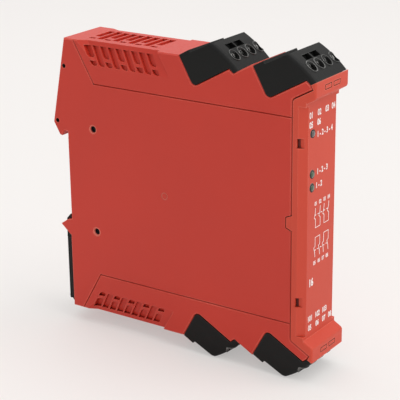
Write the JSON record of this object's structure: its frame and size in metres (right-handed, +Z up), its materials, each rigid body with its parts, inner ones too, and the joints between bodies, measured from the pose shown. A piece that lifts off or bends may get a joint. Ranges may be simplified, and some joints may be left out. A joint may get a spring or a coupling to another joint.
{
  "type": "safety relay",
  "caption": "Narrow rail-mount safety relay: red moulded housing with vents, clip-fitted front cover, stepped bays with pull-off black screw terminal plugs and a sprung foot latch",
  "frame": {"origin": "centre of the seat that rests on the mounting rail, half way across the width", "axes": "X across the narrow width, -Y towards the front cover, +Y towards the rail, Z up along the rail's height"},
  "size_m": [0.0226, 0.1136, 0.1186],
  "materials": {
    "housing_red": "fine textured moulded plastic",
    "bezel_red": "fine textured moulded plastic",
    "clear_guide": "clear moulded plastic",
    "header_black": "moulded",
    "tinned_pin": "tinned",
    "board_green": "solder mask",
    "relay_case": "moulded",
    "core_dark": "ferrite",
    "can_sleeve": "drawn can",
    "chip_black": "moulded",
    "lamp_green": "moulded lens",
    "spring_steel": "drawn wire",
    "latch_black": "moulded",
    "plug_black": "moulded",
    "contact_brass": "stamped",
    "screw_steel": "zinc plated",
    "cage_steel": "zinc plated"
  },
  "bodies": {
    "device": {"housing": "housing_red", "front_bezel": "bezel_red", "light_guide": "clear_guide", "pin_headers": "header_black", "header_pins": "tinned_pin", "main_board": "board_green", "logic_board": "board_green", "board_connector": "header_black", "relay_k1": "relay_case", "relay_k2": "relay_case", "transformer": "core_dark", "capacitors": "can_sleeve", "chips": "chip_black", "leds": "lamp_green", "latch_spring": "spring_steel"},
    "latch": {"din_latch": "latch_black"},
    "plug_top_rear": {"plug_top_rear": "plug_black", "contacts_top_rear": "contact_brass"},
    "screw_top_rear_1": {"screw_top_rear_1": "screw_steel"},
    "cage_top_rear_1": {"cage_top_rear_1": "cage_steel"},
    "screw_top_rear_2": {"screw_top_rear_2": "screw_steel"},
    "cage_top_rear_2": {"cage_top_rear_2": "cage_steel"},
    "screw_top_rear_3": {"screw_top_rear_3": "screw_steel"},
    "cage_top_rear_3": {"cage_top_rear_3": "cage_steel"},
    "screw_top_rear_4": {"screw_top_rear_4": "screw_steel"},
    "cage_top_rear_4": {"cage_top_rear_4": "cage_steel"},
    "plug_top_front": {"plug_top_front": "plug_black", "contacts_top_front": "contact_brass"},
    "screw_top_front_1": {"screw_top_front_1": "screw_steel"},
    "cage_top_front_1": {"cage_top_front_1": "cage_steel"},
    "screw_top_front_2": {"screw_top_front_2": "screw_steel"},
    "cage_top_front_2": {"cage_top_front_2": "cage_steel"},
    "screw_top_front_3": {"screw_top_front_3": "screw_steel"},
    "cage_top_front_3": {"cage_top_front_3": "cage_steel"},
    "screw_top_front_4": {"screw_top_front_4": "screw_steel"},
    "cage_top_front_4": {"cage_top_front_4": "cage_steel"},
    "plug_bottom_rear": {"plug_bottom_rear": "plug_black", "contacts_bottom_rear": "contact_brass"},
    "screw_bottom_rear_1": {"screw_bottom_rear_1": "screw_steel"},
    "cage_bottom_rear_1": {"cage_bottom_rear_1": "cage_steel"},
    "screw_bottom_rear_2": {"screw_bottom_rear_2": "screw_steel"},
    "cage_bottom_rear_2": {"cage_bottom_rear_2": "cage_steel"},
    "screw_bottom_rear_3": {"screw_bottom_rear_3": "screw_steel"},
    "cage_bottom_rear_3": {"cage_bottom_rear_3": "cage_steel"},
    "screw_bottom_rear_4": {"screw_bottom_rear_4": "screw_steel"},
    "cage_bottom_rear_4": {"cage_bottom_rear_4": "cage_steel"},
    "plug_bottom_front": {"plug_bottom_front": "plug_black", "contacts_bottom_front": "contact_brass"},
    "screw_bottom_front_1": {"screw_bottom_front_1": "screw_steel"},
    "cage_bottom_front_1": {"cage_bottom_front_1": "cage_steel"},
    "screw_bottom_front_2": {"screw_bottom_front_2": "screw_steel"},
    "cage_bottom_front_2": {"cage_bottom_front_2": "cage_steel"},
    "screw_bottom_front_3": {"screw_bottom_front_3": "screw_steel"},
    "cage_bottom_front_3": {"cage_bottom_front_3": "cage_steel"},
    "screw_bottom_front_4": {"screw_bottom_front_4": "screw_steel"},
    "cage_bottom_front_4": {"cage_bottom_front_4": "cage_steel"}
  },
  "joints": [
    {"name": "latch_slide", "type": "slide", "parent": "device", "child": "latch", "axis": [0, 0, -1], "range_m": [0, 0.003], "stiffness_N_per_m": 600, "springref_m": -0.002, "deforming": ["latch_spring"]},
    {"name": "plug_top_rear_pull", "type": "slide", "parent": "device", "child": "plug_top_rear", "axis": [0, 0.4848, 0.8746], "range_m": [0, 0.016]},
    {"name": "screw_top_rear_1_turn", "type": "hinge", "parent": "plug_top_rear", "child": "screw_top_rear_1", "pos_m": [0.00892, -0.07041, 0.05369], "axis": [0, 0.8746, -0.4848], "range_deg": [0, 1440]},
    {"name": "cage_top_rear_1_rise", "type": "slide", "parent": "plug_top_rear", "child": "cage_top_rear_1", "axis": [0, -0.8746, 0.4848], "range_m": [0, 0.002]},
    {"name": "screw_top_rear_2_turn", "type": "hinge", "parent": "plug_top_rear", "child": "screw_top_rear_2", "pos_m": [0.00384, -0.07041, 0.05369], "axis": [0, 0.8746, -0.4848], "range_deg": [0, 1440]},
    {"name": "cage_top_rear_2_rise", "type": "slide", "parent": "plug_top_rear", "child": "cage_top_rear_2", "axis": [0, -0.8746, 0.4848], "range_m": [0, 0.002]},
    {"name": "screw_top_rear_3_turn", "type": "hinge", "parent": "plug_top_rear", "child": "screw_top_rear_3", "pos_m": [-0.00124, -0.07041, 0.05369], "axis": [0, 0.8746, -0.4848], "range_deg": [0, 1440]},
    {"name": "cage_top_rear_3_rise", "type": "slide", "parent": "plug_top_rear", "child": "cage_top_rear_3", "axis": [0, -0.8746, 0.4848], "range_m": [0, 0.002]},
    {"name": "screw_top_rear_4_turn", "type": "hinge", "parent": "plug_top_rear", "child": "screw_top_rear_4", "pos_m": [-0.00632, -0.07041, 0.05369], "axis": [0, 0.8746, -0.4848], "range_deg": [0, 1440]},
    {"name": "cage_top_rear_4_rise", "type": "slide", "parent": "plug_top_rear", "child": "cage_top_rear_4", "axis": [0, -0.8746, 0.4848], "range_m": [0, 0.002]},
    {"name": "plug_top_front_pull", "type": "slide", "parent": "device", "child": "plug_top_front", "axis": [0, 0.4848, 0.8746], "range_m": [0, 0.016]},
    {"name": "screw_top_front_1_turn", "type": "hinge", "parent": "plug_top_front", "child": "screw_top_front_1", "pos_m": [0.00892, -0.10086, 0.05369], "axis": [0, 0.8746, -0.4848], "range_deg": [0, 1440]},
    {"name": "cage_top_front_1_rise", "type": "slide", "parent": "plug_top_front", "child": "cage_top_front_1", "axis": [0, -0.8746, 0.4848], "range_m": [0, 0.002]},
    {"name": "screw_top_front_2_turn", "type": "hinge", "parent": "plug_top_front", "child": "screw_top_front_2", "pos_m": [0.00384, -0.10086, 0.05369], "axis": [0, 0.8746, -0.4848], "range_deg": [0, 1440]},
    {"name": "cage_top_front_2_rise", "type": "slide", "parent": "plug_top_front", "child": "cage_top_front_2", "axis": [0, -0.8746, 0.4848], "range_m": [0, 0.002]},
    {"name": "screw_top_front_3_turn", "type": "hinge", "parent": "plug_top_front", "child": "screw_top_front_3", "pos_m": [-0.00124, -0.10086, 0.05369], "axis": [0, 0.8746, -0.4848], "range_deg": [0, 1440]},
    {"name": "cage_top_front_3_rise", "type": "slide", "parent": "plug_top_front", "child": "cage_top_front_3", "axis": [0, -0.8746, 0.4848], "range_m": [0, 0.002]},
    {"name": "screw_top_front_4_turn", "type": "hinge", "parent": "plug_top_front", "child": "screw_top_front_4", "pos_m": [-0.00632, -0.10086, 0.05369], "axis": [0, 0.8746, -0.4848], "range_deg": [0, 1440]},
    {"name": "cage_top_front_4_rise", "type": "slide", "parent": "plug_top_front", "child": "cage_top_front_4", "axis": [0, -0.8746, 0.4848], "range_m": [0, 0.002]},
    {"name": "plug_bottom_rear_pull", "type": "slide", "parent": "device", "child": "plug_bottom_rear", "axis": [0, 0.4848, -0.8746], "range_m": [0, 0.016]},
    {"name": "screw_bottom_rear_1_turn", "type": "hinge", "parent": "plug_bottom_rear", "child": "screw_bottom_rear_1", "pos_m": [-0.00892, -0.07041, -0.05369], "axis": [0, 0.8746, 0.4848], "range_deg": [0, 1440]},
    {"name": "cage_bottom_rear_1_rise", "type": "slide", "parent": "plug_bottom_rear", "child": "cage_bottom_rear_1", "axis": [0, -0.8746, -0.4848], "range_m": [0, 0.002]},
    {"name": "screw_bottom_rear_2_turn", "type": "hinge", "parent": "plug_bottom_rear", "child": "screw_bottom_rear_2", "pos_m": [-0.00384, -0.07041, -0.05369], "axis": [0, 0.8746, 0.4848], "range_deg": [0, 1440]},
    {"name": "cage_bottom_rear_2_rise", "type": "slide", "parent": "plug_bottom_rear", "child": "cage_bottom_rear_2", "axis": [0, -0.8746, -0.4848], "range_m": [0, 0.002]},
    {"name": "screw_bottom_rear_3_turn", "type": "hinge", "parent": "plug_bottom_rear", "child": "screw_bottom_rear_3", "pos_m": [0.00124, -0.07041, -0.05369], "axis": [0, 0.8746, 0.4848], "range_deg": [0, 1440]},
    {"name": "cage_bottom_rear_3_rise", "type": "slide", "parent": "plug_bottom_rear", "child": "cage_bottom_rear_3", "axis": [0, -0.8746, -0.4848], "range_m": [0, 0.002]},
    {"name": "screw_bottom_rear_4_turn", "type": "hinge", "parent": "plug_bottom_rear", "child": "screw_bottom_rear_4", "pos_m": [0.00632, -0.07041, -0.05369], "axis": [0, 0.8746, 0.4848], "range_deg": [0, 1440]},
    {"name": "cage_bottom_rear_4_rise", "type": "slide", "parent": "plug_bottom_rear", "child": "cage_bottom_rear_4", "axis": [0, -0.8746, -0.4848], "range_m": [0, 0.002]},
    {"name": "plug_bottom_front_pull", "type": "slide", "parent": "device", "child": "plug_bottom_front", "axis": [0, 0.4848, -0.8746], "range_m": [0, 0.016]},
    {"name": "screw_bottom_front_1_turn", "type": "hinge", "parent": "plug_bottom_front", "child": "screw_bottom_front_1", "pos_m": [-0.00892, -0.10086, -0.05369], "axis": [0, 0.8746, 0.4848], "range_deg": [0, 1440]},
    {"name": "cage_bottom_front_1_rise", "type": "slide", "parent": "plug_bottom_front", "child": "cage_bottom_front_1", "axis": [0, -0.8746, -0.4848], "range_m": [0, 0.002]},
    {"name": "screw_bottom_front_2_turn", "type": "hinge", "parent": "plug_bottom_front", "child": "screw_bottom_front_2", "pos_m": [-0.00384, -0.10086, -0.05369], "axis": [0, 0.8746, 0.4848], "range_deg": [0, 1440]},
    {"name": "cage_bottom_front_2_rise", "type": "slide", "parent": "plug_bottom_front", "child": "cage_bottom_front_2", "axis": [0, -0.8746, -0.4848], "range_m": [0, 0.002]},
    {"name": "screw_bottom_front_3_turn", "type": "hinge", "parent": "plug_bottom_front", "child": "screw_bottom_front_3", "pos_m": [0.00124, -0.10086, -0.05369], "axis": [0, 0.8746, 0.4848], "range_deg": [0, 1440]},
    {"name": "cage_bottom_front_3_rise", "type": "slide", "parent": "plug_bottom_front", "child": "cage_bottom_front_3", "axis": [0, -0.8746, -0.4848], "range_m": [0, 0.002]},
    {"name": "screw_bottom_front_4_turn", "type": "hinge", "parent": "plug_bottom_front", "child": "screw_bottom_front_4", "pos_m": [0.00632, -0.10086, -0.05369], "axis": [0, 0.8746, 0.4848], "range_deg": [0, 1440]},
    {"name": "cage_bottom_front_4_rise", "type": "slide", "parent": "plug_bottom_front", "child": "cage_bottom_front_4", "axis": [0, -0.8746, -0.4848], "range_m": [0, 0.002]}
  ],
  "couplings": [
    {"joint": "screw_top_rear_1_turn", "follows": "cage_top_rear_1_rise", "rad_per_m": 12566},
    {"joint": "screw_top_rear_2_turn", "follows": "cage_top_rear_2_rise", "rad_per_m": 12566},
    {"joint": "screw_top_rear_3_turn", "follows": "cage_top_rear_3_rise", "rad_per_m": 12566},
    {"joint": "screw_top_rear_4_turn", "follows": "cage_top_rear_4_rise", "rad_per_m": 12566},
    {"joint": "screw_top_front_1_turn", "follows": "cage_top_front_1_rise", "rad_per_m": 12566},
    {"joint": "screw_top_front_2_turn", "follows": "cage_top_front_2_rise", "rad_per_m": 12566},
    {"joint": "screw_top_front_3_turn", "follows": "cage_top_front_3_rise", "rad_per_m": 12566},
    {"joint": "screw_top_front_4_turn", "follows": "cage_top_front_4_rise", "rad_per_m": 12566},
    {"joint": "screw_bottom_rear_1_turn", "follows": "cage_bottom_rear_1_rise", "rad_per_m": 12566},
    {"joint": "screw_bottom_rear_2_turn", "follows": "cage_bottom_rear_2_rise", "rad_per_m": 12566},
    {"joint": "screw_bottom_rear_3_turn", "follows": "cage_bottom_rear_3_rise", "rad_per_m": 12566},
    {"joint": "screw_bottom_rear_4_turn", "follows": "cage_bottom_rear_4_rise", "rad_per_m": 12566},
    {"joint": "screw_bottom_front_1_turn", "follows": "cage_bottom_front_1_rise", "rad_per_m": 12566},
    {"joint": "screw_bottom_front_2_turn", "follows": "cage_bottom_front_2_rise", "rad_per_m": 12566},
    {"joint": "screw_bottom_front_3_turn", "follows": "cage_bottom_front_3_rise", "rad_per_m": 12566},
    {"joint": "screw_bottom_front_4_turn", "follows": "cage_bottom_front_4_rise", "rad_per_m": 12566}
  ]
}
